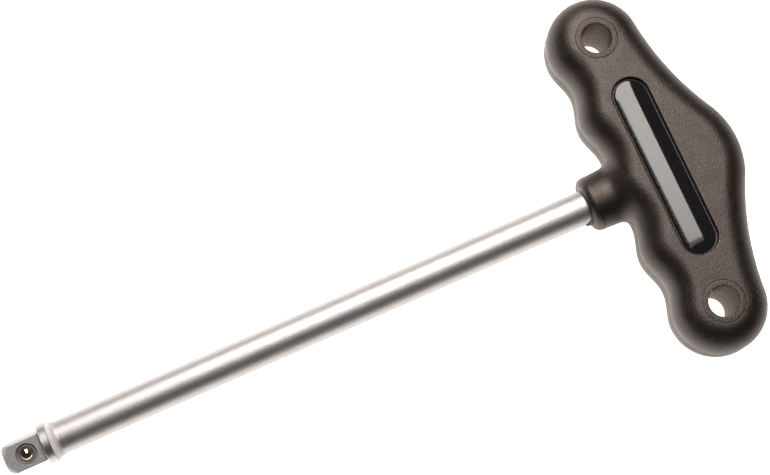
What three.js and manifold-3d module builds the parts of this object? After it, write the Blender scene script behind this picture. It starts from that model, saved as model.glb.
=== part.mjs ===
// T-handle wrench with a fixed square drive and a spring ball.
// Units are millimetres. +X runs along the shank from the square's end face to the handle,
// +Y runs along the handle, +Z is up out of the handle's front face.
import * as THREE from 'three';
import Module from 'manifold-3d';

// ---- driving sizes ----
const SQUARE = 9.53;                 // across the flats of the drive
const SQUARE_LENGTH = 13.2;          // end face to the root of the square
const TWIST = THREE.MathUtils.degToRad(15);   // turn of the square about the shank, as pressed in
const SHANK_R = 5.75;
const COLLAR_R = 6.95;
const HOLE_X = 235;                  // hanging holes, from the square's end face
const HOLE_Y = 48.8;                 // hanging holes, either side of the shank
const BORE_R = 5.2;
const BUSH_R = 7.0;
const HALF_THICK = 13.8;             // half the thickness of the handle
const GAP = 0.3;                     // clearance between neighbouring pieces

// handle outline, seen from the front, x measured from the hole line
const LOBE_R = 16.1;                 // rounded end about each hanging hole
const FINGER_AMPLITUDE = 1.35;       // half the depth of the finger grooves
const BACK_X = 30.35;                // crown of the palm hump
const HUMP_R = 29;
const WAIST_R = 96;                  // hollow flank between hump and lobe

// handle edge rounding
const EDGE_INSET = 9;                // how far the rounding reaches in from the outline
const SIDE_BAND = 3.9;               // half height of the straight side at mid thickness

// neck of the handle
const NECK_END_X = HOLE_X - 25.6;
const NECK_R = 9.3;
const NECK_ROOT_R = 9.9;

// label recesses
const LABEL_X = HOLE_X + 2;
const RECESS_HALF_WIDTH = 6.2;
const RECESS_HALF_LENGTH = 32.2;
const RECESS_DEPTH = 1.9;
const LABEL_MARGIN = 0.55;           // groove round the label
const FOIL_THICK = 0.3;
const DOME_RISE = 0.55;

// inside the handle
const SKIN = 3.0;                    // thickness of the skin over the core
const SHANK_END_X = HOLE_X + 20;
const BAR_R = 3;
const BAR_HALF_LENGTH = 37;
const BAR_X = HOLE_X + 9;
const LOCK_R = 2;
const LOCK_HALF_LENGTH = 9;
const LOCK_X = HOLE_X - 6;

// spring ball
const BALL_R = 2.5;
const BALL_X = 7.6;
const BALL_PROUD = 1.15;             // how far the ball stands above the flat
const POCKET_R = BALL_R + GAP;
const POCKET_MOUTH_R = 3.5;
const POCKET_MOUTH_DEPTH = 0.9;
const POCKET_FLOOR = -3.5;           // along the pocket's axis, from the shank's axis
const WIRE_R = 0.25;
const COIL_R = 1.75;
const COIL_TURNS = 4.5;

// ---- materials ----
function material(name, colour, roughness, metalness) {
  const look = new THREE.MeshStandardMaterial({ color: colour, roughness, metalness });
  look.name = name;
  return look;
}
const MATERIALS = {
  shank: material('satin_chrome', 0xcfc9c4, 0.3, 1.0),
  ball: material('ball_steel', 0xc9bca6, 0.15, 1.0),
  spring: material('spring_steel', 0x8f8f92, 0.35, 1.0),
  grip: material('grip_black', 0x3b3532, 0.6, 0.0),
  bush: material('bush_black', 0x4a423c, 0.45, 0.0),
  core: material('core_black', 0x1d1c1c, 0.5, 0.0),
  bar: material('bar_steel', 0x9b9a98, 0.4, 1.0),
  foil: material('label_foil', 0x18181a, 0.4, 0.0),
  dome: material('label_dome', 0x242222, 0.1, 0.0),
};

// ---- solids and booleans ----
const wasm = await Module();
wasm.setup();

function mergedSoup(geometry) {
  // weld equal corners and drop the slivers that the welding leaves
  const flat = geometry.index ? geometry.toNonIndexed() : geometry;
  const position = flat.getAttribute('position');
  const indexOf = new Map();
  const points = [];
  const corners = [];
  for (let i = 0; i < position.count; i += 1) {
    const p = [position.getX(i), position.getY(i), position.getZ(i)];
    const key = p.map((v) => Math.round(v * 1e5)).join();
    if (!indexOf.has(key)) {
      indexOf.set(key, points.length / 3);
      points.push(...p);
    }
    corners.push(indexOf.get(key));
  }
  const triangles = [];
  for (let i = 0; i < corners.length; i += 3) {
    const [a, b, c] = corners.slice(i, i + 3);
    if (a !== b && b !== c && c !== a) triangles.push(a, b, c);
  }
  return { points, triangles };
}

function solid(geometry) {
  const { points, triangles } = mergedSoup(geometry);
  return new wasm.Manifold(new wasm.Mesh({
    numProp: 3,
    vertProperties: new Float32Array(points),
    triVerts: new Uint32Array(triangles),
  }));
}

function meshOf(name, body, look) {
  const { vertProperties, triVerts } = body.getMesh();
  const geometry = new THREE.BufferGeometry();
  geometry.setAttribute('position', new THREE.BufferAttribute(new Float32Array(vertProperties), 3));
  geometry.setIndex(new THREE.BufferAttribute(new Uint32Array(triVerts), 1));
  const faceted = geometry.toNonIndexed();
  faceted.computeVertexNormals();
  const mesh = new THREE.Mesh(faceted, look);
  mesh.name = name;
  return mesh;
}

// A body turned about the X axis from [x, radius] pairs.
function turned(profile, segments = 40) {
  const points = profile.map(([x, r]) => new THREE.Vector2(r, x));
  const geometry = new THREE.LatheGeometry(points, segments);
  geometry.rotateZ(-Math.PI / 2);
  return solid(geometry);
}

// A straight rod of radius r from one end to the other.
function rod(from, to, r, segments = 24) {
  const along = new THREE.Vector3().subVectors(to, from);
  const geometry = new THREE.CylinderGeometry(r, r, along.length(), segments);
  geometry.applyQuaternion(new THREE.Quaternion().setFromUnitVectors(
    new THREE.Vector3(0, 1, 0), along.clone().normalize()));
  const middle = new THREE.Vector3().addVectors(from, to).multiplyScalar(0.5);
  geometry.translate(middle.x, middle.y, middle.z);
  return solid(geometry);
}

// A body through rings of points, all with the same count, from the lowest to the highest.
function lofted(rings) {
  const triangles = [];
  const push = (...corners) => corners.forEach((p) => triangles.push(p.x, p.y, p.z));
  const count = rings[0].length;
  for (let k = 0; k + 1 < rings.length; k += 1) {
    for (let i = 0; i < count; i += 1) {
      const j = (i + 1) % count;
      push(rings[k][i], rings[k][j], rings[k + 1][j]);
      push(rings[k][i], rings[k + 1][j], rings[k + 1][i]);
    }
  }
  const cap = (ring, up) => {
    const faces = THREE.ShapeUtils.triangulateShape(ring.map((p) => new THREE.Vector2(p.x, p.y)), []);
    faces.forEach(([a, b, c]) => (up ? push(ring[a], ring[b], ring[c]) : push(ring[c], ring[b], ring[a])));
  };
  cap(rings[0], false);
  cap(rings[rings.length - 1], true);
  const geometry = new THREE.BufferGeometry();
  geometry.setAttribute('position', new THREE.Float32BufferAttribute(triangles, 3));
  return solid(geometry);
}

// ---- handle outline ----
function arc(centre, radius, from, to, steps) {
  const points = [];
  for (let i = 0; i <= steps; i += 1) {
    const a = from + ((to - from) * i) / steps;
    points.push(new THREE.Vector2(centre.x + radius * Math.cos(a), centre.y + radius * Math.sin(a)));
  }
  return points;
}

// Centre of the hollow flank's arc, which touches the lobe's arc and the hump's from outside.
function waistCentre(lobe, hump) {
  const toLobe = LOBE_R + WAIST_R;
  const toHump = HUMP_R + WAIST_R;
  const apart = lobe.distanceTo(hump);
  const turn = Math.acos((toHump ** 2 + apart ** 2 - toLobe ** 2) / (2 * toHump * apart));
  const bearing = Math.atan2(lobe.y - hump.y, lobe.x - hump.x) - turn;
  return new THREE.Vector2(hump.x + toHump * Math.cos(bearing), hump.y + toHump * Math.sin(bearing));
}

// Half of the outline (y >= 0), from the finger side over the lobe to the palm hump.
function halfOutline(density) {
  const steps = (n) => Math.max(2, Math.round(n * density));
  const points = [];
  const fingerSteps = steps(20);
  const fingerMean = LOBE_R - FINGER_AMPLITUDE;
  for (let i = 0; i < fingerSteps; i += 1) {
    const y = (HOLE_Y * i) / fingerSteps;
    const wave = FINGER_AMPLITUDE * Math.cos((4 * Math.PI * y) / HOLE_Y);
    points.push(new THREE.Vector2(-fingerMean - wave, y));
  }
  const lobe = new THREE.Vector2(0, HOLE_Y);
  const hump = new THREE.Vector2(BACK_X - HUMP_R, 0);
  const waist = waistCentre(lobe, hump);
  const start = Math.atan2(waist.y - lobe.y, waist.x - lobe.x);
  const end = Math.atan2(waist.y - hump.y, waist.x - hump.x);
  points.push(...arc(lobe, LOBE_R, Math.PI, start, steps(20)));
  points.push(...arc(waist, WAIST_R, Math.PI + start, Math.PI + end, steps(8)).slice(1));
  points.push(...arc(hump, HUMP_R, end, 0, steps(8)).slice(1));
  return points;
}

// The whole outline, anticlockwise seen from the front.
function handleOutline(density = 1) {
  const upper = halfOutline(density);
  const lower = upper.slice(1, -1).map((p) => new THREE.Vector2(p.x, -p.y));
  return [...upper.reverse(), ...lower];
}

// The outline moved inwards by a distance, at one height.
function outlineRing(outline, inset, z) {
  const count = outline.length;
  return outline.map((p, i) => {
    const before = outline[(i + count - 1) % count];
    const after = outline[(i + 1) % count];
    const along = new THREE.Vector2().subVectors(after, before).normalize();
    return new THREE.Vector3(HOLE_X + p.x - along.y * inset, p.y + along.x * inset, z);
  });
}

// A block with the handle's outline and rounded edges.
function roundedHandle(outline, shrink, halfThick, edge, levels) {
  const upper = [];
  for (let i = 0; i <= levels; i += 1) {
    const a = (Math.PI / 2) * (i / levels);
    const z = SIDE_BAND + (halfThick - SIDE_BAND) * Math.sin(a);
    upper.push(outlineRing(outline, shrink + edge * (1 - Math.cos(a)), z));
  }
  const lower = upper.map((ring) => ring.map((p) => new THREE.Vector3(p.x, p.y, -p.z)));
  return lofted([...lower.reverse(), ...upper]);
}

// ---- neck ----
function neck(shrink) {
  const rootX = HOLE_X - LOBE_R + 4;
  return turned([
    [NECK_END_X + shrink, 0],
    [NECK_END_X + shrink, NECK_R - 2.1 - shrink],
    [NECK_END_X + 0.35 + shrink, NECK_R - 1.0 - shrink],
    [NECK_END_X + 1.3 + shrink, NECK_R - 0.2 - shrink],
    [NECK_END_X + 2.6 + shrink, NECK_R - shrink],
    [NECK_END_X + 9.0, NECK_ROOT_R - shrink],
    [NECK_END_X + 10.6, NECK_ROOT_R + 0.7 - shrink],
    [NECK_END_X + 11.6, NECK_ROOT_R + 2.2 - shrink],
    [rootX, NECK_ROOT_R + 2.2 - shrink],
    [rootX, 0],
  ], 44);
}

// ---- label shapes ----
function obroundRing(halfWidth, halfLength, z) {
  const reach = halfLength - halfWidth;
  const top = arc(new THREE.Vector2(0, reach), halfWidth, 0, Math.PI, 12);
  const bottom = arc(new THREE.Vector2(0, -reach), halfWidth, Math.PI, 2 * Math.PI, 12);
  return [...top, ...bottom].map((p) => new THREE.Vector3(LABEL_X + p.x, p.y, z));
}

// side is +1 for the front face and -1 for the rear face
function labelPlate(halfWidth, halfLength, levels, side) {
  const rings = levels.map(([inset, height]) => (
    obroundRing(halfWidth - inset, halfLength - inset, side * height)));
  return lofted(side > 0 ? rings : rings.reverse());
}

const LABEL_HALF_WIDTH = RECESS_HALF_WIDTH - LABEL_MARGIN;
const LABEL_HALF_LENGTH = RECESS_HALF_LENGTH - LABEL_MARGIN;
const RECESS_FLOOR = HALF_THICK - RECESS_DEPTH;
const FOIL_BOTTOM = RECESS_FLOOR + GAP;
const DOME_BOTTOM = FOIL_BOTTOM + FOIL_THICK + 0.1;

function recess(side) {
  return labelPlate(RECESS_HALF_WIDTH, RECESS_HALF_LENGTH,
    [[0, RECESS_FLOOR], [0, HALF_THICK + 1]], side);
}

function labelFoil(side) {
  return labelPlate(LABEL_HALF_WIDTH, LABEL_HALF_LENGTH,
    [[0, FOIL_BOTTOM], [0, FOIL_BOTTOM + FOIL_THICK]], side);
}

function labelDome(side) {
  const shoulder = HALF_THICK - 0.1 - DOME_RISE;
  return labelPlate(LABEL_HALF_WIDTH, LABEL_HALF_LENGTH, [
    [0, DOME_BOTTOM],
    [0, shoulder],
    [0.9, shoulder + 0.55 * DOME_RISE],
    [2.2, shoulder + 0.85 * DOME_RISE],
    [3.6, shoulder + DOME_RISE],
  ], side);
}

// ---- square drive ----
// Points on the pocket's axis, at a distance from the shank's axis.
function onPocketAxis(distance) {
  return new THREE.Vector3(BALL_X, -distance * Math.sin(TWIST), distance * Math.cos(TWIST));
}

function squareDrive() {
  const block = new THREE.BoxGeometry(SQUARE_LENGTH + 1, SQUARE, SQUARE);
  block.translate((SQUARE_LENGTH + 1) / 2, 0, 0);
  block.rotateX(TWIST);
  const cone = turned([
    [0, 0],
    [0, 4.15],
    [0.7, 4.85],
    [3.2, 6.9],
    [SQUARE_LENGTH + 1, 6.9],
    [SQUARE_LENGTH + 1, 0],
  ]);
  return solid(block).intersect(cone);
}

function ballPocket() {
  const flat = SQUARE / 2;
  const shaft = rod(onPocketAxis(POCKET_FLOOR), onPocketAxis(flat + 1), POCKET_R);
  const mouth = new THREE.CylinderGeometry(
    POCKET_MOUTH_R + 1, POCKET_R, POCKET_MOUTH_DEPTH * (1 + 1 / (POCKET_MOUTH_R - POCKET_R)), 24);
  mouth.rotateX(Math.PI / 2 + TWIST);
  const height = POCKET_MOUTH_DEPTH * (1 + 1 / (POCKET_MOUTH_R - POCKET_R));
  const centre = onPocketAxis(flat - POCKET_MOUTH_DEPTH + height / 2);
  mouth.translate(centre.x, centre.y, centre.z);
  return shaft.add(solid(mouth));
}

function shank() {
  const root = SQUARE_LENGTH;
  const body = turned([
    [root, 0],
    [root, 5.3],
    [root + 1.2, 6.4],
    [root + 2.3, 6.55],
    [root + 2.4, COLLAR_R - 0.1],
    [root + 2.7, COLLAR_R],
    [root + 4.0, COLLAR_R],
    [root + 4.3, COLLAR_R - 0.2],
    [root + 5.2, SHANK_R + 0.1],
    [root + 5.5, SHANK_R - 0.15],
    [root + 6.2, SHANK_R],
    [SHANK_END_X - 1, SHANK_R],
    [SHANK_END_X, SHANK_R - 1],
    [SHANK_END_X, 0],
  ]);
  return body.add(squareDrive())
    .subtract(ballPocket())
    .subtract(crossBarRod(BAR_R + GAP, BAR_HALF_LENGTH))
    .subtract(lockPinRod(LOCK_R + GAP, LOCK_HALF_LENGTH));
}

// ---- spring ball ----
function detentBall() {
  const sphere = new THREE.SphereGeometry(BALL_R, 24, 16);
  const centre = onPocketAxis(SQUARE / 2 + BALL_PROUD - BALL_R);
  sphere.translate(centre.x, centre.y, centre.z);
  return solid(sphere);
}

class Coil extends THREE.Curve {
  getPoint(t, target = new THREE.Vector3()) {
    const a = 2 * Math.PI * COIL_TURNS * t;
    const low = POCKET_FLOOR + GAP + WIRE_R;
    const high = SQUARE / 2 + BALL_PROUD - 2 * BALL_R - GAP / 2;
    const along = onPocketAxis(low + (high - low) * t);
    const across = COIL_R * Math.sin(a);
    return target.set(
      BALL_X + COIL_R * Math.cos(a),
      along.y + across * Math.cos(TWIST),
      along.z + across * Math.sin(TWIST),
    );
  }
}

function detentSpring() {
  const section = new THREE.Shape(arc(new THREE.Vector2(), WIRE_R, 0, 2 * Math.PI, 6).slice(0, 6));
  return solid(new THREE.ExtrudeGeometry(section, {
    extrudePath: new Coil(), steps: Math.round(14 * COIL_TURNS), bevelEnabled: false, curveSegments: 1,
  }));
}

// ---- inside the handle ----
function crossBarRod(radius, halfLength) {
  return rod(new THREE.Vector3(BAR_X, -halfLength, 0), new THREE.Vector3(BAR_X, halfLength, 0), radius);
}

function lockPinRod(radius, halfLength) {
  const low = new THREE.Vector3(LOCK_X, 0, -halfLength);
  const high = new THREE.Vector3(LOCK_X, 0, halfLength);
  return rod(low, high, radius, 20);
}

// Round holes through both faces, one about each hanging hole.
function throughHoles(radius) {
  const reach = HALF_THICK + 1;
  const [first, second] = [1, -1].map((side) => {
    const low = new THREE.Vector3(HOLE_X, side * HOLE_Y, -reach);
    const high = new THREE.Vector3(HOLE_X, side * HOLE_Y, reach);
    return rod(low, high, radius, 36);
  });
  return first.add(second);
}

// The block that the skin wraps: the core itself when gap is 0, its cavity when gap is positive.
function coreBlock(gap) {
  const block = roundedHandle(handleOutline(0.5), SKIN - gap, HALF_THICK - SKIN + gap, EDGE_INSET - 4, 3);
  return block.add(neck(SKIN - 0.8 - gap));
}

function handleCore() {
  const shankHole = turned([
    [NECK_END_X - 1, 0],
    [NECK_END_X - 1, SHANK_R + GAP],
    [SHANK_END_X + GAP, SHANK_R + GAP],
    [SHANK_END_X + GAP, 0],
  ], 32);
  return coreBlock(0)
    .subtract(shankHole)
    .subtract(throughHoles(BUSH_R + GAP))
    .subtract(crossBarRod(BAR_R + GAP, BAR_HALF_LENGTH + GAP))
    .subtract(lockPinRod(LOCK_R + GAP, LOCK_HALF_LENGTH + GAP));
}

function gripShell() {
  const outside = new THREE.Vector3(NECK_END_X - 1, 0, 0);
  const inside = new THREE.Vector3(NECK_END_X + 6, 0, 0);
  const shankHole = rod(outside, inside, SHANK_R + GAP, 40);
  return roundedHandle(handleOutline(), 0, HALF_THICK, EDGE_INSET, 6)
    .add(neck(0))
    .subtract(coreBlock(GAP))
    .subtract(shankHole)
    .subtract(throughHoles(BUSH_R + GAP))
    .subtract(recess(1))
    .subtract(recess(-1));
}

function holeBush(side) {
  const height = HALF_THICK - 0.1;
  const section = [
    [BORE_R, -height + 0.4],
    [BORE_R + 0.4, -height],
    [BUSH_R, -height],
    [BUSH_R, height],
    [BORE_R + 0.4, height],
    [BORE_R, height - 0.4],
    [BORE_R, -height + 0.4],
  ].map(([r, z]) => new THREE.Vector2(r, z));
  const geometry = new THREE.LatheGeometry(section, 36);
  geometry.rotateX(Math.PI / 2);
  geometry.translate(HOLE_X, side * HOLE_Y, 0);
  return solid(geometry);
}

// ---- assembly ----
const wrench = new THREE.Group();
wrench.name = 't_handle_wrench';
wrench.add(
  meshOf('shank', shank(), MATERIALS.shank),
  meshOf('detent_ball', detentBall(), MATERIALS.ball),
  meshOf('detent_spring', detentSpring(), MATERIALS.spring),
  meshOf('grip_shell', gripShell(), MATERIALS.grip),
  meshOf('handle_core', handleCore(), MATERIALS.core),
  meshOf('cross_bar', crossBarRod(BAR_R, BAR_HALF_LENGTH), MATERIALS.bar),
  meshOf('lock_pin', lockPinRod(LOCK_R, LOCK_HALF_LENGTH), MATERIALS.bar),
  meshOf('hole_bush_upper', holeBush(1), MATERIALS.bush),
  meshOf('hole_bush_lower', holeBush(-1), MATERIALS.bush),
  meshOf('label_foil_front', labelFoil(1), MATERIALS.foil),
  meshOf('label_dome_front', labelDome(1), MATERIALS.dome),
  meshOf('label_foil_rear', labelFoil(-1), MATERIALS.foil),
  meshOf('label_dome_rear', labelDome(-1), MATERIALS.dome),
);

export default wrench;
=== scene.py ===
import math

import bmesh
import bpy
import numpy as np
from mathutils import Matrix, Vector
from mathutils.bvhtree import BVHTree


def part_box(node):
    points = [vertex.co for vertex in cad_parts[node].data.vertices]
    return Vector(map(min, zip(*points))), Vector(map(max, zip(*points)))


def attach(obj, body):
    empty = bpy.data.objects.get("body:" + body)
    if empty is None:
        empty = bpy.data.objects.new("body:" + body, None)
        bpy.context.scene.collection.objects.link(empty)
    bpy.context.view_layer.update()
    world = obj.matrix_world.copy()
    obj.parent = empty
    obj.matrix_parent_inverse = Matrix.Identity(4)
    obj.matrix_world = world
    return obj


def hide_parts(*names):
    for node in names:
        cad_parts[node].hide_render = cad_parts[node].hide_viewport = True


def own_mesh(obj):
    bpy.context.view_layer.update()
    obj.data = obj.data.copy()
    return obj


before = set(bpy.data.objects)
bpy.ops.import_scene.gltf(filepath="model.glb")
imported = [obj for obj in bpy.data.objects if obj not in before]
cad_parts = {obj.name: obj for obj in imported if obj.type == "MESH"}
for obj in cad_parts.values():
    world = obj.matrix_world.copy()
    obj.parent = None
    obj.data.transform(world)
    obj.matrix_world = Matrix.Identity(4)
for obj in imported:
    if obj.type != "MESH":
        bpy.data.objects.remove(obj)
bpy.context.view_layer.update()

# A T-handle wrench: a satin chrome shank with a square drive and a spring ball, moulded into a handle.
# Shapes are worked out in millimetres in the CAD frame (+X along the shank from the square's end face,
# +Y along the handle, +Z out of its front face) and turned to metres where a mesh is made.
MM = 0.001


def node_box(node):
    """A CAD node's lowest and highest corner, in millimetres."""
    low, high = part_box(node)
    return [v / MM for v in low], [v / MM for v in high]


# ---- sizes, in millimetres ----
BUSH_LOW, BUSH_HIGH = node_box("hole_bush_upper")
LABEL_LOW, LABEL_HIGH = node_box("label_dome_front")
FOIL_LOW = node_box("label_foil_front")[0]
GRIP_LOW, GRIP_HIGH = node_box("grip_shell")

HOLE_X = (BUSH_LOW[0] + BUSH_HIGH[0]) / 2
HOLE_Y = (BUSH_LOW[1] + BUSH_HIGH[1]) / 2
HALF_THICK = GRIP_HIGH[2]
SQUARE = 9.53
SQUARE_LENGTH = 13.2
TWIST = math.radians(15)
SHANK_R = 5.75
SHANK_END_X = HOLE_X + 20
COLLAR_R = 6.95
COLLAR_CREST_X = SQUARE_LENGTH + 2.9
COLLAR_SLOPE = 2.0

# handle outline, x measured from the line of the hanging holes
LOBE_R = 16.1
FINGER_AMPLITUDE = 1.35
BACK_X = 30.35
HUMP_R = 29.0
WAIST_R = 96.0
EDGE_INSET = 9.0                     # how far the rounded edge reaches in over the face
SIDE_BAND = 3.9                      # half the height of the straight side below that edge

NECK_END_X = GRIP_LOW[0]
NECK_R = 9.3
NECK_ROOT_R = 9.9
NECK_ROOT_X = HOLE_X - 12.0
NECK_END_ROUND = 2.4
NECK_BLEND = 3.3
NECK_BORE_R = SHANK_R + 0.12
SKIN = 3.0                           # the grip skin's thickness over the core
CORE_GAP = 0.3

# fine lines of the mould: the parting line round the handle and a ridge round the neck
PARTING_HALF_WIDTH = 0.28
PARTING_DEPTH = 0.24
RIDGE_X = NECK_END_X + 2.9
RIDGE_HALF_WIDTH = 0.22
RIDGE_HEIGHT = 0.16

BUSH_R = 7.06
BUSH_HOLE_R = 7.12
BORE_R = 5.2
BUSH_HALF = HALF_THICK - 0.03

LABEL_X = (LABEL_LOW[0] + LABEL_HIGH[0]) / 2
LABEL_HALF_WIDTH = (LABEL_HIGH[0] - LABEL_LOW[0]) / 2
LABEL_HALF_LENGTH = (LABEL_HIGH[1] - LABEL_LOW[1]) / 2
RECESS_GROOVE = 0.55
RECESS_FLOOR = FOIL_LOW[2] - 0.02

BALL_R = 2.5
BALL_X = 7.6
BALL_PROUD = 1.15                    # how far the ball stands above the flat
POCKET_R = 2.75
POCKET_FLOOR = -3.5                  # along the pocket's axis, from the shank's axis
WIRE_R = 0.25
COIL_R = 1.75
COIL_TURNS = 4.5
POCKET_AXIS = (0, -math.sin(TWIST), math.cos(TWIST))

VOXEL = 0.5                          # cell of the grip skin's even mesh
SHARP_ANGLE = math.radians(35)

# the softbox fades in between these places across the tool, in metres
SOFTBOX_DIM_Y = -0.12
SOFTBOX_FULL_Y = 0.28

# the table glows round this place, evenly up to the near distance and fading to the far one, in metres
GLOW_CENTRE = (0.10, 0.01, 0.0)
GLOW_NEAR = 0.10
GLOW_FAR = 0.28


# ---- meshes ----
def add_object(name, mesh, material=None):
    """An object of this mesh, smooth shaded but for its sharp edges."""
    mesh.shade_smooth()
    mesh.set_sharp_from_angle(angle=SHARP_ANGLE)
    piece = bpy.data.objects.new(name, mesh)
    bpy.context.scene.collection.objects.link(piece)
    if material:
        mesh.materials.append(material)
    return piece


def mesh_of(name, points, faces):
    """A mesh from points in millimetres, with its faces turned outwards."""
    mesh = bpy.data.meshes.new(name)
    mesh.from_pydata([tuple(v * MM for v in p) for p in points], [], faces)
    shape = bmesh.new()
    shape.from_mesh(mesh)
    bmesh.ops.remove_doubles(shape, verts=shape.verts, dist=1e-7)
    bmesh.ops.recalc_face_normals(shape, faces=shape.faces)
    shape.to_mesh(mesh)
    shape.free()
    return mesh


def rounded(corners, steps=5):
    """A line through (a, b, radius) corners, with an arc of that radius at each."""
    line = []
    for i, (a, b, radius) in enumerate(corners):
        here = Vector((a, b))
        if radius <= 0 or i in (0, len(corners) - 1):
            line.append(here)
            continue
        back = (Vector(corners[i - 1][:2]) - here).normalized()
        ahead = (Vector(corners[i + 1][:2]) - here).normalized()
        half = back.angle(ahead) / 2
        run = radius / math.tan(half)
        centre = here + (back + ahead).normalized() * (radius / math.sin(half))
        start = here + back * run - centre
        end = here + ahead * run - centre
        turn = start.angle_signed(end)
        for k in range(steps + 1):
            line.append(centre + Matrix.Rotation(-turn * k / steps, 2) @ start)
    return [(p.x, p.y) for p in line]


def lathe(name, profile, segments=128, closed=False):
    """A mesh turned about the X axis from (x, radius) pairs. A closed profile is a ring."""
    points = []
    rows = []
    for x, r in profile:
        if r < 1e-6:
            rows.append([len(points)] * segments)
            points.append((x, 0.0, 0.0))
            continue
        rows.append(list(range(len(points), len(points) + segments)))
        for k in range(segments):
            a = 2 * math.pi * k / segments
            points.append((x, r * math.cos(a), r * math.sin(a)))
    faces = []
    pairs = list(zip(rows, rows[1:]))
    if closed:
        pairs.append((rows[-1], rows[0]))
    for one, two in pairs:
        for k in range(segments):
            j = (k + 1) % segments
            face = [one[k], one[j], two[j], two[k]]
            kept = list(dict.fromkeys(face))
            if len(kept) > 2:
                faces.append(kept)
    return mesh_of(name, points, faces)


def loft(name, rings):
    """A closed mesh through rings of points with the same count."""
    count = len(rings[0])
    points = [p for ring in rings for p in ring]
    faces = []
    for k in range(len(rings) - 1):
        for i in range(count):
            j = (i + 1) % count
            a = k * count
            b = a + count
            faces.append([a + i, a + j, b + j, b + i])
    last = (len(rings) - 1) * count
    faces.append(list(range(count)))
    faces.append(list(range(last + count - 1, last - 1, -1)))
    return mesh_of(name, points, faces)


def tube(name, path, radius, sides=16):
    """A round wire along points in millimetres, with closed ends."""
    rings = []
    path = [Vector(p) for p in path]
    side = None
    for i, here in enumerate(path):
        along = (path[min(i + 1, len(path) - 1)] - path[max(i - 1, 0)]).normalized()
        if side is None:
            side = along.orthogonal()
        side = (side - along * side.dot(along)).normalized()
        up = along.cross(side)
        rings.append([
            here + (side * math.cos(a) + up * math.sin(a)) * radius
            for a in (2 * math.pi * k / sides for k in range(sides))])
    return loft(name, rings)


def with_modifiers(piece):
    """Replaces a piece's mesh by what its modifiers make of it."""
    graph = bpy.context.evaluated_depsgraph_get()
    made = bpy.data.meshes.new_from_object(piece.evaluated_get(graph), depsgraph=graph)
    piece.modifiers.clear()
    old = piece.data
    piece.data = made
    bpy.data.meshes.remove(old)
    return piece


def boolean(piece, operation, *tools):
    """Joins or cuts a piece by meshes, which are used up."""
    for mesh in tools:
        tool = add_object("tool", mesh)
        step = piece.modifiers.new("step", "BOOLEAN")
        step.operation = operation
        step.solver = "EXACT"
        step.object = tool
        bpy.context.view_layer.update()
        with_modifiers(piece)
        bpy.data.objects.remove(tool)
    piece.data.shade_smooth()
    piece.data.set_sharp_from_angle(angle=SHARP_ANGLE)
    return piece


def turned_mesh(mesh, matrix):
    """The mesh moved by a matrix whose translation is in millimetres."""
    moved = matrix.copy()
    moved.translation = matrix.translation * MM
    mesh.transform(moved)
    return mesh


# ---- handle outline ----
def arc(centre, radius, start, end, steps):
    """Points on an arc between two angles, with both ends."""
    return [
        (centre[0] + radius * math.cos(a), centre[1] + radius * math.sin(a))
        for a in np.linspace(start, end, steps + 1)]


def waist_centre(lobe, hump):
    """Centre of the hollow flank's arc, which touches the lobe's arc and the hump's from outside."""
    to_lobe = LOBE_R + WAIST_R
    to_hump = HUMP_R + WAIST_R
    apart = (lobe - hump).length
    turn = math.acos((to_hump ** 2 + apart ** 2 - to_lobe ** 2) / (2 * to_hump * apart))
    bearing = math.atan2(lobe.y - hump.y, lobe.x - hump.x) - turn
    return hump + to_hump * Vector((math.cos(bearing), math.sin(bearing)))


def half_outline():
    """Half of the outline, from the middle finger over the lobe to the palm hump."""
    points = []
    mean = LOBE_R - FINGER_AMPLITUDE
    for y in np.linspace(0, HOLE_Y, 97)[:-1]:
        wave = FINGER_AMPLITUDE * math.cos(4 * math.pi * y / HOLE_Y)
        points.append((-mean - wave, y))
    lobe = Vector((0, HOLE_Y))
    hump = Vector((BACK_X - HUMP_R, 0))
    waist = waist_centre(lobe, hump)
    start = math.atan2(waist.y - lobe.y, waist.x - lobe.x)
    end = math.atan2(waist.y - hump.y, waist.x - hump.x)
    points += arc(lobe, LOBE_R, math.pi, start, 96)
    points += arc(waist, WAIST_R, math.pi + start, math.pi + end, 60)[1:]
    points += arc(hump, HUMP_R, end, 0, 40)[1:]
    return points


def handle_body(shrink=0.0, half_thick=HALF_THICK, edge=EDGE_INSET, levels=24):
    """The handle's block: its outline, moved in by shrink, lofted over a rounded edge."""
    upper = half_outline()
    outline = upper[::-1] + [(x, -y) for x, y in upper[1:-1]]
    outline = np.array(outline)
    along = np.roll(outline, -1, axis=0) - np.roll(outline, 1, axis=0)
    along /= np.linalg.norm(along, axis=1)[:, None]
    inwards = np.stack([-along[:, 1], along[:, 0]], axis=1)
    if np.sum(inwards * (outline - outline.mean(axis=0))) > 0:
        inwards = -inwards
    rings = []
    for a in np.linspace(0, math.pi / 2, levels + 1):
        z = SIDE_BAND + (half_thick - SIDE_BAND) * math.sin(a)
        moved = outline + inwards * (shrink + edge * (1 - math.cos(a)))
        rings.append([(HOLE_X + x, y, z) for x, y in moved])
    lower = [[(x, y, -z) for x, y, z in ring] for ring in rings]
    return loft("handle_body", lower[::-1] + rings)


def neck_radius(x):
    """The neck's radius, which grows a little towards the handle."""
    return NECK_R + (NECK_ROOT_R - NECK_R) * (x - NECK_END_X) / (NECK_ROOT_X - NECK_END_X)


def neck_body():
    """The neck: a slightly tapered round boss with rounded ends, which reaches into the handle."""
    profile = rounded([
        (NECK_END_X, 0, 0),
        (NECK_END_X, neck_radius(NECK_END_X), NECK_END_ROUND),
        (NECK_ROOT_X, NECK_ROOT_R, NECK_END_ROUND),
        (NECK_ROOT_X, 0, 0),
    ], steps=10)
    return lathe("neck_body", profile, 160)


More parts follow.
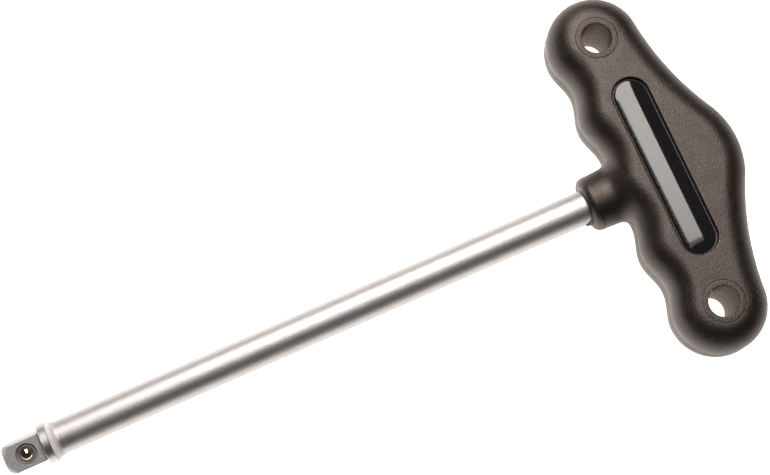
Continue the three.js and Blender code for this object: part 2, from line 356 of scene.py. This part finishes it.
def neck_distance(point):
    """Signed distance to the neck, and the direction away from it, in metres."""
    x, y, z = point / MM
    radius = math.hypot(y, z)
    middle = (NECK_END_X + NECK_ROOT_X) / 2
    side = 1.0 if x > middle else -1.0
    along = abs(x - middle) - (NECK_ROOT_X - NECK_END_X) / 2 + NECK_END_ROUND
    out = radius - neck_radius(x) + NECK_END_ROUND
    ring = Vector((0, y, z)) / max(radius, 1e-6)
    if along > 0 and out > 0:
        gap = math.hypot(along, out)
        return (gap - NECK_END_ROUND) * MM, (Vector((side * along, 0, 0)) + ring * out) / gap
    if along > out:
        return (along - NECK_END_ROUND) * MM, Vector((side, 0, 0))
    return (out - NECK_END_ROUND) * MM, ring


def tree_of(mesh):
    """A search tree for the nearest place on a mesh."""
    shape = bmesh.new()
    shape.from_mesh(mesh)
    bmesh.ops.triangulate(shape, faces=shape.faces)
    tree = BVHTree.FromBMesh(shape)
    shape.free()
    return tree


def distance(tree, point):
    """Signed distance to a closed mesh, and the direction away from it."""
    near, normal, _, gap = tree.find_nearest(point)
    away = point - near
    sign = 1.0 if away.dot(normal) >= 0 else -1.0
    if gap < 2e-5:
        return sign * gap, normal
    return sign * gap, away * (sign / gap)


def settle(mesh, body_tree):
    """Moves each point onto the smooth union of the handle's block and its neck."""
    width = NECK_BLEND * MM
    for vertex in mesh.vertices:
        point = vertex.co.copy()
        for _ in range(4):
            one, n_one = distance(body_tree, point)
            two, n_two = neck_distance(point)
            share = max(width - abs(one - two), 0.0) / width
            height = min(one, two) - share * share * width / 4
            mix = share / 2
            if one < two:
                slope = n_one * (1 - mix) + n_two * mix
            else:
                slope = n_two * (1 - mix) + n_one * mix
            move = slope * (height / max(slope.length_squared, 0.2))
            point -= move
            if abs(height) < 2e-6:
                break
        point.z = max(-HALF_THICK * MM, min(HALF_THICK * MM, point.z))
        vertex.co = point


def score(mesh, centre, axis, half_width, depth, keep):
    """Cuts a fine V line in the mesh where a plane across an axis meets it, or raises a bead
    if the depth is negative, at the points that keep() allows."""
    shape = bmesh.new()
    shape.from_mesh(mesh)
    normal = Vector((0, 0, 0))
    normal[axis] = 1.0
    for offset in (-half_width, 0, half_width):
        at = normal * ((centre + offset) * MM)
        near = [
            g for g in [*shape.verts, *shape.edges, *shape.faces]
            if all(abs(v.co[axis] - at[axis]) < 4 * VOXEL * MM and keep(v.co)
                   for v in (g.verts if hasattr(g, "verts") else [g]))]
        bmesh.ops.bisect_plane(shape, geom=near, dist=1e-7, plane_co=at, plane_no=normal)
    shape.normal_update()
    for vertex in shape.verts:
        if abs(vertex.co[axis] - centre * MM) < 1e-6 and keep(vertex.co):
            vertex.co -= vertex.normal * depth * MM
    shape.to_mesh(mesh)
    shape.free()


# ---- obround label shapes ----
def obround(half_width, half_length, z, segments=40):
    """A ring of points round a slot shape, centred on the label."""
    reach = half_length - half_width
    top = arc((0, reach), half_width, 0, math.pi, segments)
    bottom = arc((0, -reach), half_width, math.pi, 2 * math.pi, segments)
    side_steps = 24
    left = [(-half_width, reach - 2 * reach * k / side_steps) for k in range(1, side_steps)]
    right = [(half_width, -reach + 2 * reach * k / side_steps) for k in range(1, side_steps)]
    return [(LABEL_X + x, y, z) for x, y in top + left + bottom + right]


def obround_plate(name, levels, side):
    """A plate through (half width, z) levels, on the front (side 1) or the rear (side -1)."""
    length_more = LABEL_HALF_LENGTH - LABEL_HALF_WIDTH
    rings = [obround(w, w + length_more, side * z) for w, z in levels]
    return loft(name, rings)


def recess_cutter(side):
    """The label's recess, with its mouth eased to the face."""
    wide = LABEL_HALF_WIDTH + RECESS_GROOVE
    lip = 0.56
    levels = [(wide, RECESS_FLOOR)]
    for a in np.linspace(0, math.pi / 2, 7):
        levels.append((wide + lip * (1 - math.cos(a)), HALF_THICK - lip + lip * math.sin(a)))
    levels.append((wide + lip + 0.02, HALF_THICK + 1))
    return obround_plate("recess", levels, side)


def label_dome(side):
    """A cast resin dome: a short wall, a rounded rim and a shallow crown."""
    top = LABEL_HIGH[2]
    wide = LABEL_HALF_WIDTH
    rim = 0.68
    rise = 0.64
    spread = 0.5 * math.pi * 0.96
    wall_top = LABEL_LOW[2] + 0.05
    rim_high = top - rise - wall_top
    levels = [(wide, LABEL_LOW[2]), (wide, wall_top)]
    for a in np.linspace(0, math.radians(74), 11)[1:]:
        levels.append((wide - rim + rim * math.cos(a), wall_top + rim_high * math.sin(a)))
    edge, edge_z = levels[-1]
    for t in np.linspace(1, 0.03, 24)[1:]:
        drop = (1 - math.cos(t * spread)) / (1 - math.cos(spread))
        levels.append((edge * t, top - (top - edge_z) * drop))
    return obround_plate("label_dome_mesh", levels, side)


# ---- cutters ----
def bush_hole(side):
    """The hole for a bush, eased at both faces."""
    lip = 0.08
    profile = rounded([
        (-HALF_THICK - 1, 0, 0),
        (-HALF_THICK - 1, BUSH_HOLE_R + lip + 1, 0),
        (-HALF_THICK + lip, BUSH_HOLE_R, 0.1),
        (HALF_THICK - lip, BUSH_HOLE_R, 0.1),
        (HALF_THICK + 1, BUSH_HOLE_R + lip + 1, 0),
        (HALF_THICK + 1, 0, 0),
    ])
    mesh = lathe("bush_hole", profile, 96)
    return turned_mesh(mesh, upright(side))


def upright(side):
    """Turns a lathe's X axis to Z and moves it to a hanging hole."""
    return Matrix.Translation((HOLE_X, side * HOLE_Y, 0)) @ Matrix.Rotation(-math.pi / 2, 4, "Y")


# ---- pieces ----
def grip_skin():
    """The moulded skin: handle and neck run together, with the mould's lines, recesses and holes."""
    body = handle_body()
    tree = tree_of(body)
    skin = add_object("grip_skin", body)
    boolean(skin, "UNION", neck_body())
    remesh = skin.modifiers.new("even", "REMESH")
    remesh.mode = "VOXEL"
    remesh.voxel_size = VOXEL * MM
    with_modifiers(skin)
    settle(skin.data, tree)
    score(skin.data, 0.0, 2, PARTING_HALF_WIDTH, PARTING_DEPTH, lambda point: True)
    score(skin.data, RIDGE_X, 0, RIDGE_HALF_WIDTH, -RIDGE_HEIGHT, on_ridge)
    neck_bore = plug("neck_bore", NECK_END_X - 2, SHANK_END_X, NECK_BORE_R)
    boolean(skin, "DIFFERENCE", *core_cavity(), neck_bore)
    return boolean(skin, "DIFFERENCE", bush_hole(1), bush_hole(-1), recess_cutter(1), recess_cutter(-1))


def on_ridge(point):
    """The neck's ridge shows everywhere but on the neck's front, on the side of the upper lobe."""
    return point.z < 2 * MM or point.y < -4 * MM


def plug(name, start, end, radius):
    """A plain round plug along the shank's axis."""
    return lathe(name, [(start, 0), (start, radius), (end, radius), (end, 0)], 96)


def core_cavity():
    """The room that the core fills, in the handle and in the neck."""
    wall = SKIN - CORE_GAP
    block = handle_body(wall, HALF_THICK - wall, EDGE_INSET - 4, levels=6)
    return block, plug("neck_room", NECK_END_X + wall, NECK_ROOT_X + 4, NECK_R - wall + 0.8)


def moulding_flash():
    """The ragged film of plastic that squeezed out along the shank under the neck's end."""
    steps = 90
    start = math.radians(140)
    end = math.radians(300)
    inner = SHANK_R + 0.04
    root = NECK_END_X + 1.2
    rings = []
    rag = np.random.default_rng(4).uniform(0.0, 1.0, steps + 1)
    for k in range(steps + 1):
        t = k / steps
        a = start + (end - start) * t
        swell = math.exp(-((t - 0.30) / 0.16) ** 2)
        length = 0.25 + 0.5 * math.sin(math.pi * t) + 1.9 * swell * (0.45 + 0.55 * rag[k])
        thick = 0.16 + 0.35 * swell
        section = [
            (root, inner), (NECK_END_X - length, inner),
            (NECK_END_X - length * 0.7, inner + thick), (root, inner + thick + 0.8)]
        rings.append([(x, r * math.cos(a), r * math.sin(a)) for x, r in section])
    return loft("moulding_flash", rings)


def hole_bush(side):
    """A bush with a rounded mouth and the fine rings that its core pin left in the bore."""
    mouth = 0.12
    ease = 0.05
    half_ring = 0.15
    ring_depth = 0.015
    corners = [
        (-BUSH_HALF, BUSH_R, ease),
        (-BUSH_HALF, BORE_R + mouth, ease),
        (-BUSH_HALF + mouth, BORE_R, ease),
    ]
    for z in (-2.4, 4.4, 8.4):
        corners += [(z - half_ring, BORE_R, 0), (z, BORE_R + ring_depth, 0), (z + half_ring, BORE_R, 0)]
    corners += [
        (BUSH_HALF - mouth, BORE_R, ease),
        (BUSH_HALF, BORE_R + mouth, ease),
        (BUSH_HALF, BUSH_R, ease),
    ]
    profile = rounded([(0, BUSH_R, 0), *corners, (0, BUSH_R, 0)], steps=4)[:-1]
    mesh = lathe("hole_bush_mesh", profile, 96, closed=True)
    return turned_mesh(mesh, upright(side))


def shank_body():
    """The shank: one turned length with its collar, the square on its end and the ball's pocket."""
    root = SQUARE_LENGTH
    profile = rounded([
        (root - 0.15, 0, 0),
        (root - 0.15, 4.55, 0),
        (root + 0.05, 6.55, 0.05),
        (root + 0.4, COLLAR_R - 0.07, 0.15),
        (COLLAR_CREST_X, COLLAR_R, 0.35),
        (COLLAR_CREST_X + COLLAR_SLOPE, SHANK_R + 0.12, 0.7),
        (COLLAR_CREST_X + COLLAR_SLOPE + 1.1, SHANK_R, 0),
        (SHANK_END_X - 1, SHANK_R, 0.3),
        (SHANK_END_X, SHANK_R - 1, 0.2),
        (SHANK_END_X, 0, 0),
    ])
    shank = add_object("drive_shank", lathe("drive_shank", profile, 160))
    boolean(shank, "UNION", square_end())
    boolean(shank, "DIFFERENCE", root_relief(), ball_pocket())
    even = shank.modifiers.new("even", "WEIGHTED_NORMAL")
    even.keep_sharp = True
    return with_modifiers(shank)


def root_relief():
    """A fine groove turned where the square meets the collar."""
    front = SQUARE_LENGTH - 0.3
    back = SQUARE_LENGTH + 0.02
    return lathe("root_relief", [(front, 4.5), (back, 4.5), (back, 8), (front, 8)], 160, closed=True)


def square_end():
    """The square, its long edges eased and its end turned to a cone."""
    half = SQUARE / 2
    ease = 0.35
    corners = []
    for k in range(4):
        centre = Matrix.Rotation(k * math.pi / 2, 2) @ Vector((half - ease, half - ease))
        for a in np.linspace(0, math.pi / 2, 5):
            corners.append(centre + Matrix.Rotation(k * math.pi / 2 + a, 2) @ Vector((ease, 0)))
    rings = []
    for x in (0.0, SQUARE_LENGTH + 1):
        rings.append([(x, p.x, p.y) for p in corners])
    block = loft("square_end", rings)
    block.transform(Matrix.Rotation(TWIST, 4, "X"))
    cone = lathe("end_cone", rounded([
        (0, 0, 0),
        (0, 4.0, 0.3),
        (0.9, 5.0, 0.6),
        (3.0, 6.9, 0),
        (SQUARE_LENGTH + 2, 6.9, 0),
        (SQUARE_LENGTH + 2, 0, 0),
    ]), 160)
    piece = boolean(add_object("square_piece", block), "INTERSECT", cone)
    mesh = piece.data.copy()
    bpy.data.objects.remove(piece)
    return mesh


def pocket_frame():
    """Turns a lathe's X axis to the pocket's axis, with its zero on the shank's axis."""
    outward = Vector(POCKET_AXIS)
    along = Vector((1, 0, 0))
    turn = Matrix((outward, along, outward.cross(along))).transposed().to_4x4()
    return Matrix.Translation((BALL_X, 0, 0)) @ turn


def ball_pocket():
    """The drilled pocket, with a rounded mouth."""
    flat = SQUARE / 2
    profile = rounded([
        (POCKET_FLOOR, 0, 0),
        (POCKET_FLOOR, POCKET_R, 0.3),
        (flat - 1.6, POCKET_R, 0.1),
        (flat - 1.2, 3.35, 0.15),
        (flat - 0.1, 3.5, 0.1),
        (flat + 1, 4.5, 0),
        (flat + 1, 0, 0),
    ])
    return turned_mesh(lathe("ball_pocket", profile, 96), pocket_frame())


def pocket_lip():
    """The staked ring of metal that keeps the ball in."""
    flat = SQUARE / 2
    profile = rounded([
        (flat - 2.0, POCKET_R - 0.02, 0),
        (flat - 1.35, POCKET_R - 0.05, 0.05),
        (flat - 0.95, 2.50, 0.06),
        (flat - 0.8, 2.56, 0.06),
        (flat - 1.1, POCKET_R + 0.12, 0.1),
        (flat - 2.0, POCKET_R + 0.1, 0),
        (flat - 2.0, POCKET_R - 0.02, 0),
    ], steps=4)[:-1]
    return turned_mesh(lathe("pocket_lip", profile, 96, closed=True), pocket_frame())


def spring_ball():
    """The ball, turned from a half circle so that its poles lie on the pocket's axis."""
    centre = SQUARE / 2 + BALL_PROUD - BALL_R
    profile = [
        (centre - BALL_R * math.cos(a), BALL_R * math.sin(a)) for a in np.linspace(0, math.pi, 65)]
    return turned_mesh(lathe("spring_ball", profile, 96), pocket_frame())


def coil_spring():
    """The spring under the ball, with its end turns closed up."""
    low = POCKET_FLOOR + 0.3 + WIRE_R
    high = SQUARE / 2 + BALL_PROUD - 2 * BALL_R - 0.15
    place = pocket_frame()
    path = []
    steps = 180
    for k in range(steps + 1):
        t = k / steps
        climb = t - 0.45 * math.sin(2 * math.pi * t) / (2 * math.pi)
        a = 2 * math.pi * COIL_TURNS * t
        at = place @ Vector((low + (high - low) * climb, COIL_R * math.cos(a), COIL_R * math.sin(a)))
        path.append(at)
    return tube("coil_spring", path, WIRE_R)


# ---- materials ----
def set_stops(ramp, stops):
    """Gives a colour ramp node its (place, colour) stops."""
    points = ramp.color_ramp.elements
    while len(points) < len(stops):
        points.new(0.5)
    for point, (where, colour) in zip(points, stops):
        point.position = where
        point.color = (*colour, 1.0)


def grey(value):
    return (value, value, value)


class Look:
    """A node material and short ways to add nodes to it."""

    def __init__(self, name):
        self.material = bpy.data.materials.new(name)
        self.material.use_nodes = True
        self.tree = self.material.node_tree
        self.shader = self.tree.nodes["Principled BSDF"]

    def node(self, kind, **settings):
        made = self.tree.nodes.new(kind)
        for key, value in settings.items():
            setattr(made, key, value)
        return made

    def link(self, start, end):
        self.tree.links.new(start, end)

    def fixed(self, **values):
        """Constant shader inputs, named with _ for a space."""
        for key, value in values.items():
            self.shader.inputs[key.replace("_", " ")].default_value = value

    def place(self):
        """The place on the piece, in metres."""
        return self.node("ShaderNodeTexCoord").outputs["Object"]

    def noise(self, per_mm, detail=3.0, roughness=0.6, stretch=(1, 1, 1)):
        """Cloudy noise from 0 to 1 with this many blobs in a millimetre."""
        spread = self.node("ShaderNodeMapping")
        spread.inputs["Scale"].default_value = stretch
        self.link(self.place(), spread.inputs["Vector"])
        made = self.node("ShaderNodeTexNoise")
        made.inputs["Scale"].default_value = per_mm / MM
        made.inputs["Detail"].default_value = detail
        made.inputs["Roughness"].default_value = roughness
        self.link(spread.outputs["Vector"], made.inputs["Vector"])
        return made.outputs["Fac"]

    def ramp(self, source, stops):
        """A colour that follows a value through (place, colour) stops."""
        made = self.node("ShaderNodeValToRGB")
        set_stops(made, stops)
        self.link(source, made.inputs["Fac"])
        return made.outputs["Color"]

    def between(self, source, low, high):
        """Noise spread out from one value to another."""
        made = self.node("ShaderNodeMapRange")
        made.inputs["From Min"].default_value = 0.3
        made.inputs["From Max"].default_value = 0.7
        made.inputs["To Min"].default_value = low
        made.inputs["To Max"].default_value = high
        self.link(source, made.inputs["Value"])
        return made.outputs["Result"]

    def bump(self, source, height_mm, under=None):
        """A fine relief of this height, over another one if given."""
        made = self.node("ShaderNodeBump")
        made.inputs["Strength"].default_value = 1.0
        made.inputs["Distance"].default_value = height_mm * MM
        self.link(source, made.inputs["Height"])
        if under:
            self.link(under, made.inputs["Normal"])
        return made.outputs["Normal"]


def moulded_look(name, dark, light, rough, grain=0.10):
    """Black moulded plastic with a fine eroded grain, cloudy flow marks and a few pale specks."""
    look = Look(name)
    cloud = look.noise(0.16, detail=6.0, roughness=0.65)
    mottle = look.noise(1.9, detail=2.0)
    fine = look.noise(4.0, detail=1.0)
    colour = look.ramp(cloud, [(0.3, dark), (0.7, light)])
    specks = look.ramp(look.noise(1.3, detail=0.0), [(0.82, grey(0)), (0.86, grey(1))])
    spotted = look.node("ShaderNodeMix", data_type="RGBA")
    look.link(specks, spotted.inputs["Factor"])
    look.link(colour, spotted.inputs["A"])
    spotted.inputs["B"].default_value = (0.10, 0.09, 0.075, 1.0)
    look.link(spotted.outputs["Result"], look.shader.inputs["Base Color"])
    gloss = look.node("ShaderNodeMath", operation="ADD")
    look.link(look.between(mottle, rough - 0.06, rough + 0.06), gloss.inputs[0])
    look.link(look.between(cloud, -0.05, 0.05), gloss.inputs[1])
    look.link(gloss.outputs["Value"], look.shader.inputs["Roughness"])
    look.link(look.bump(fine, grain * 0.4, look.bump(mottle, grain)), look.shader.inputs["Normal"])
    look.fixed(IOR=1.57, Specular_Tint=(1.0, 0.86, 0.79, 1.0))
    return look.material


def bush_look():
    """The bushes' black plastic: grained on the faces and smooth in the bore, whose brown colour is a
    painted reflection of the lit table.
    """
    look = Look("bush_black")
    split = look.node("ShaderNodeSeparateXYZ")
    look.link(look.place(), split.inputs["Vector"])
    height = look.node("ShaderNodeMath", operation="ABSOLUTE")
    look.link(split.outputs["Z"], height.inputs[0])
    face = look.node("ShaderNodeMapRange")
    face.inputs["From Min"].default_value = (BUSH_HALF - 0.3) * MM
    face.inputs["From Max"].default_value = (BUSH_HALF - 0.1) * MM
    look.link(height.outputs["Value"], face.inputs["Value"])
    mottle = look.noise(0.8, detail=4.0, roughness=0.7)
    colour = look.node("ShaderNodeMix", data_type="RGBA")
    look.link(face.outputs["Result"], colour.inputs["Factor"])
    # painted reflection: the bore's brown base stands in for the lit table seen in the black plastic's
    # wall
    bore = look.ramp(mottle, [(0.3, (0.17, 0.095, 0.06)), (0.7, (0.21, 0.12, 0.078))])
    look.link(bore, colour.inputs["A"])
    rim = look.ramp(mottle, [(0.3, (0.008, 0.006, 0.0045)), (0.7, (0.014, 0.010, 0.0075))])
    look.link(rim, colour.inputs["B"])
    look.link(colour.outputs["Result"], look.shader.inputs["Base Color"])
    gloss = look.node("ShaderNodeMix")
    look.link(face.outputs["Result"], gloss.inputs["Factor"])
    look.link(look.between(mottle, 0.46, 0.54), gloss.inputs["A"])
    look.link(look.between(mottle, 0.36, 0.50), gloss.inputs["B"])
    look.link(gloss.outputs["Result"], look.shader.inputs["Roughness"])
    grain = look.node("ShaderNodeMath", operation="MULTIPLY")
    look.link(look.noise(1.6, detail=2.0), grain.inputs[0])
    look.link(face.outputs["Result"], grain.inputs[1])
    look.link(look.bump(grain.outputs["Value"], 0.15), look.shader.inputs["Normal"])
    look.fixed(IOR=1.56, Specular_Tint=(1.0, 0.86, 0.78, 1.0))
    return look.material


def steel_look(name, dark, light, rough, grain, per_mm, stretch=(1, 1, 1)):
    """Bare or plated metal with a fine grain."""
    look = Look(name)
    fine = look.noise(per_mm, detail=4.0, roughness=0.7, stretch=stretch)
    cloud = look.noise(0.12, detail=4.0)
    look.link(look.ramp(cloud, [(0.3, dark), (0.7, light)]), look.shader.inputs["Base Color"])
    look.link(look.between(fine, rough - 0.05, rough + 0.06), look.shader.inputs["Roughness"])
    look.link(look.bump(fine, grain), look.shader.inputs["Normal"])
    look.fixed(Metallic=1.0)
    return look.material


def shank_look():
    """Satin chrome: blasted on the square, brighter on the collar's front band, frosted on its slope,
    where a pale colour is a painted highlight.
    """
    look = Look("satin_chrome")
    cloud = look.noise(0.12, detail=4.0)
    grain = look.noise(1.8, detail=3.0, roughness=0.6)
    tone = look.ramp(cloud, [(0.3, (0.42, 0.415, 0.418)), (0.7, (0.455, 0.45, 0.453))])
    split = look.node("ShaderNodeSeparateXYZ")
    look.link(look.place(), split.inputs["Vector"])
    along = look.node("ShaderNodeMapRange")
    along.inputs["From Max"].default_value = 2 * COLLAR_CREST_X * MM
    look.link(split.outputs["X"], along.inputs["Value"])
    # the ramps run from the end face to twice the crest's distance, which puts the crest at 0.5
    root = SQUARE_LENGTH / (2 * COLLAR_CREST_X)
    crest = 0.5
    end = crest + (COLLAR_SLOPE + 0.1) / (2 * COLLAR_CREST_X)
    matt = grey(0.62)
    polished = grey(0.42)
    frosted = grey(0.8)
    satin = grey(0.49)
    zones = look.ramp(along.outputs["Result"], [
        (root - 0.005, matt), (root + 0.005, polished), (crest - 0.003, polished),
        (crest + 0.003, frosted), (end - 0.01, frosted), (end + 0.03, satin)])
    # painted highlight: the collar's rear slope gets a pale metal colour where it catches the softbox
    pale = look.ramp(along.outputs["Result"], [
        (crest - 0.003, grey(0)), (crest + 0.01, grey(1)), (end - 0.03, grey(1)), (end + 0.02, grey(0))])
    colour = look.node("ShaderNodeMix", data_type="RGBA")
    look.link(pale, colour.inputs["Factor"])
    look.link(tone, colour.inputs["A"])
    colour.inputs["B"].default_value = (0.74, 0.71, 0.69, 1.0)
    look.link(colour.outputs["Result"], look.shader.inputs["Base Color"])
    gloss = look.node("ShaderNodeMath", operation="ADD")
    look.link(zones, gloss.inputs[0])
    look.link(look.between(grain, -0.05, 0.05), gloss.inputs[1])
    look.link(gloss.outputs["Value"], look.shader.inputs["Roughness"])
    depth = look.node("ShaderNodeMath", operation="MULTIPLY_ADD")
    look.link(zones, depth.inputs[0])
    depth.inputs[1].default_value = 5.0
    depth.inputs[2].default_value = -1.9
    height = look.node("ShaderNodeMath", operation="MULTIPLY")
    look.link(grain, height.inputs[0])
    look.link(depth.outputs["Value"], height.inputs[1])
    look.link(look.bump(height.outputs["Value"], 0.16), look.shader.inputs["Normal"])
    look.fixed(Metallic=1.0)
    return look.material


def resin_look():
    """Black cast resin: glossy, with faint dust marks in its gloss."""
    look = Look("label_resin")
    dust = look.noise(1.1, detail=6.0)
    look.link(look.ramp(dust, [(0.35, (0.006, 0.006, 0.007)), (0.8, (0.014, 0.013, 0.013))]),
              look.shader.inputs["Base Color"])
    look.link(look.between(dust, 0.05, 0.09), look.shader.inputs["Roughness"])
    look.fixed(IOR=1.55)
    return look.material


# ---- studio ----
def studio():
    """A bright white table that glows by itself, under one long softbox, in a dim room."""
    scene = bpy.context.scene
    scene.view_settings.view_transform = "Standard"
    floor_z = -HALF_THICK * MM - 0.0002
    size = 6.0
    corners = ((-size, -size), (size, -size), (size, size), (-size, size))
    mesh = bpy.data.meshes.new("floor")
    mesh.from_pydata([(x, y, floor_z) for x, y in corners], [], [(0, 1, 2, 3)])
    floor = bpy.data.objects.new("floor", mesh)
    scene.collection.objects.link(floor)
    mesh.materials.append(table_look())
    softbox(at=Vector((0.37, 0.60, 1.30)), aim=Vector((0.22, 0, 0)), wide=0.78, long=1.8, radiance=9.0)
    room()


def table_look():
    """White paper with a painted glow: it emits light of its own, an even white to the camera, and to
    other rays a painted pool of light strongest near the tool that falls off to a dim edge.
    """
    look = Look("table_white_painted_glow")
    look.fixed(Base_Color=(0.8, 0.79, 0.77, 1.0), Roughness=0.9)
    # painted pool of light: the table's own emission, strongest round the tool
    away = look.node("ShaderNodeVectorMath", operation="DISTANCE")
    look.link(look.place(), away.inputs[0])
    away.inputs[1].default_value = GLOW_CENTRE
    fade = look.node("ShaderNodeMapRange")
    fade.inputs["From Min"].default_value = GLOW_NEAR
    fade.inputs["From Max"].default_value = GLOW_FAR
    fade.inputs["To Min"].default_value = 1.45
    fade.inputs["To Max"].default_value = 0.13
    look.link(away.outputs["Value"], fade.inputs["Value"])
    seen = look.node("ShaderNodeLightPath")
    bright = look.node("ShaderNodeMix")
    look.link(seen.outputs["Is Camera Ray"], bright.inputs["Factor"])
    look.link(fade.outputs["Result"], bright.inputs["A"])
    bright.inputs["B"].default_value = 1.4
    look.link(bright.outputs["Result"], look.shader.inputs["Emission Strength"])
    look.fixed(Emission_Color=(1.0, 0.93, 0.87, 1.0))
    return look.material


def softbox(at, aim, wide, long, radiance):
    """A rectangular light at one point, facing another, with its long side across the tool."""
    direction = (at - aim).normalized()
    lamp = bpy.data.lights.new("softbox", "AREA")
    lamp.shape = "RECTANGLE"
    lamp.size = wide
    lamp.size_y = long
    lamp.energy = radiance * math.pi * wide * long
    lamp.color = (1.0, 0.945, 0.905)
    lamp.use_nodes = True
    nodes = lamp.node_tree.nodes
    links = lamp.node_tree.links
    place = nodes.new("ShaderNodeNewGeometry")
    split = nodes.new("ShaderNodeSeparateXYZ")
    fade = nodes.new("ShaderNodeMapRange")
    fade.interpolation_type = "SMOOTHSTEP"
    fade.inputs["From Min"].default_value = SOFTBOX_DIM_Y
    fade.inputs["From Max"].default_value = SOFTBOX_FULL_Y
    fade.inputs["To Min"].default_value = 0.15
    links.new(place.outputs["Position"], split.inputs["Vector"])
    links.new(split.outputs["Y"], fade.inputs["Value"])
    links.new(fade.outputs["Result"], nodes["Emission"].inputs["Strength"])
    light = bpy.data.objects.new("softbox", lamp)
    bpy.context.scene.collection.objects.link(light)
    light.location = at
    side = Vector((0, 1, 0)).cross(direction).normalized()
    up = direction.cross(side)
    light.rotation_euler = Matrix((side, up, direction)).transposed().to_euler()


def room():
    """A dark room, a little lighter low down, which the camera sees as a pale backdrop."""
    world = bpy.data.worlds.new("room")
    bpy.context.scene.world = world
    world.use_nodes = True
    nodes = world.node_tree.nodes
    links = world.node_tree.links
    sky = nodes["Background"]
    place = nodes.new("ShaderNodeTexCoord")
    split = nodes.new("ShaderNodeSeparateXYZ")
    links.new(place.outputs["Generated"], split.inputs["Vector"])
    ramp = nodes.new("ShaderNodeValToRGB")
    set_stops(ramp, [
        (0.0, (0.10, 0.10, 0.11)), (0.15, (0.045, 0.047, 0.052)), (0.5, (0.035, 0.037, 0.042))])
    links.new(split.outputs["Z"], ramp.inputs["Fac"])
    path = nodes.new("ShaderNodeLightPath")
    choose = nodes.new("ShaderNodeMix")
    choose.data_type = "RGBA"
    links.new(path.outputs["Is Camera Ray"], choose.inputs["Factor"])
    links.new(ramp.outputs["Color"], choose.inputs["A"])
    choose.inputs["B"].default_value = (0.93, 0.93, 0.92, 1.0)
    links.new(choose.outputs["Result"], sky.inputs["Color"])


def camera():
    """The main viewpoint: high over the tool and turned to its left."""
    data = bpy.data.cameras.new("camera")
    data.sensor_width = 36.0
    data.sensor_fit = "HORIZONTAL"
    data.lens = 86.49
    data.shift_x = -0.0006
    data.shift_y = 0.0009
    data.clip_start = 0.01
    view = bpy.data.objects.new("camera", data)
    bpy.context.scene.collection.objects.link(view)
    view.location = (0.09187, -0.08748, 0.60901)
    view.rotation_euler = [math.radians(a) for a in (10.867, -0.435, -24.02)]
    bpy.context.scene.camera = view


# ---- assembly ----
def stand_in(name, mesh, look, slot, *nodes, body="wrench"):
    """A detailed piece, from a mesh or an object, that stands for CAD nodes and hides them; its slot
    argument is not used.
    """
    piece = mesh if isinstance(mesh, bpy.types.Object) else add_object(name, mesh)
    piece.name = name
    piece.data.materials.clear()
    piece.data.materials.append(look)
    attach(piece, body)
    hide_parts(*nodes)
    return piece


def detail(name, mesh, look, slot):
    """A small detail of the wrench's body that no CAD node stands for."""
    piece = add_object(name, mesh, look)
    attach(piece, "wrench")


def carry_over(node, look):
    """A CAD node that stays, with a better material."""
    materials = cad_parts[node].data.materials
    for i in range(len(materials)):
        materials[i] = look


camera()
studio()

GRIP = moulded_look("grip_black", (0.0045, 0.0035, 0.003), (0.010, 0.0075, 0.006), 0.42, grain=0.09)
BUSH = bush_look()
CORE = moulded_look("core_black", grey(0.02), grey(0.03), 0.45)
CHROME = shank_look()
BALL = steel_look("ball_steel", (0.66, 0.56, 0.42), (0.72, 0.62, 0.48), 0.12, 0.001, 2.0)
SPRING = steel_look("spring_steel", (0.42, 0.42, 0.43), (0.5, 0.5, 0.51), 0.3, 0.004, 4.0)
BAR = steel_look("drawn_bar", grey(0.45), grey(0.55), 0.35, 0.006, 3.0, stretch=(1, 0.05, 1))
FOIL = moulded_look("printed_foil", (0.012, 0.012, 0.013), (0.02, 0.02, 0.021), 0.35, grain=0.004)
RESIN = resin_look()

stand_in("grip_skin", grip_skin(), GRIP, "grip", "grip_shell")
detail("moulding_flash", moulding_flash(), GRIP, "grip")
for end, side in (("upper", 1), ("lower", -1)):
    stand_in("bush_" + end, hole_bush(side), BUSH, "bush", "hole_bush_" + end)
for face, side in (("front", 1), ("rear", -1)):
    stand_in("resin_dome_" + face, label_dome(side), RESIN, "dome", "label_dome_" + face)
stand_in("drive_shank", shank_body(), CHROME, "shank", "shank")
detail("pocket_lip", pocket_lip(), CHROME, "shank")
stand_in("spring_ball", spring_ball(), BALL, "ball", "detent_ball", body="ball")
spring = stand_in("coil_spring", coil_spring(), SPRING, "spring", "detent_spring")
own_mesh(spring)
carry_over("handle_core", CORE)
for node in ("cross_bar", "lock_pin"):
    carry_over(node, BAR)
for node in ("label_foil_front", "label_foil_rear"):
    carry_over(node, FOIL)
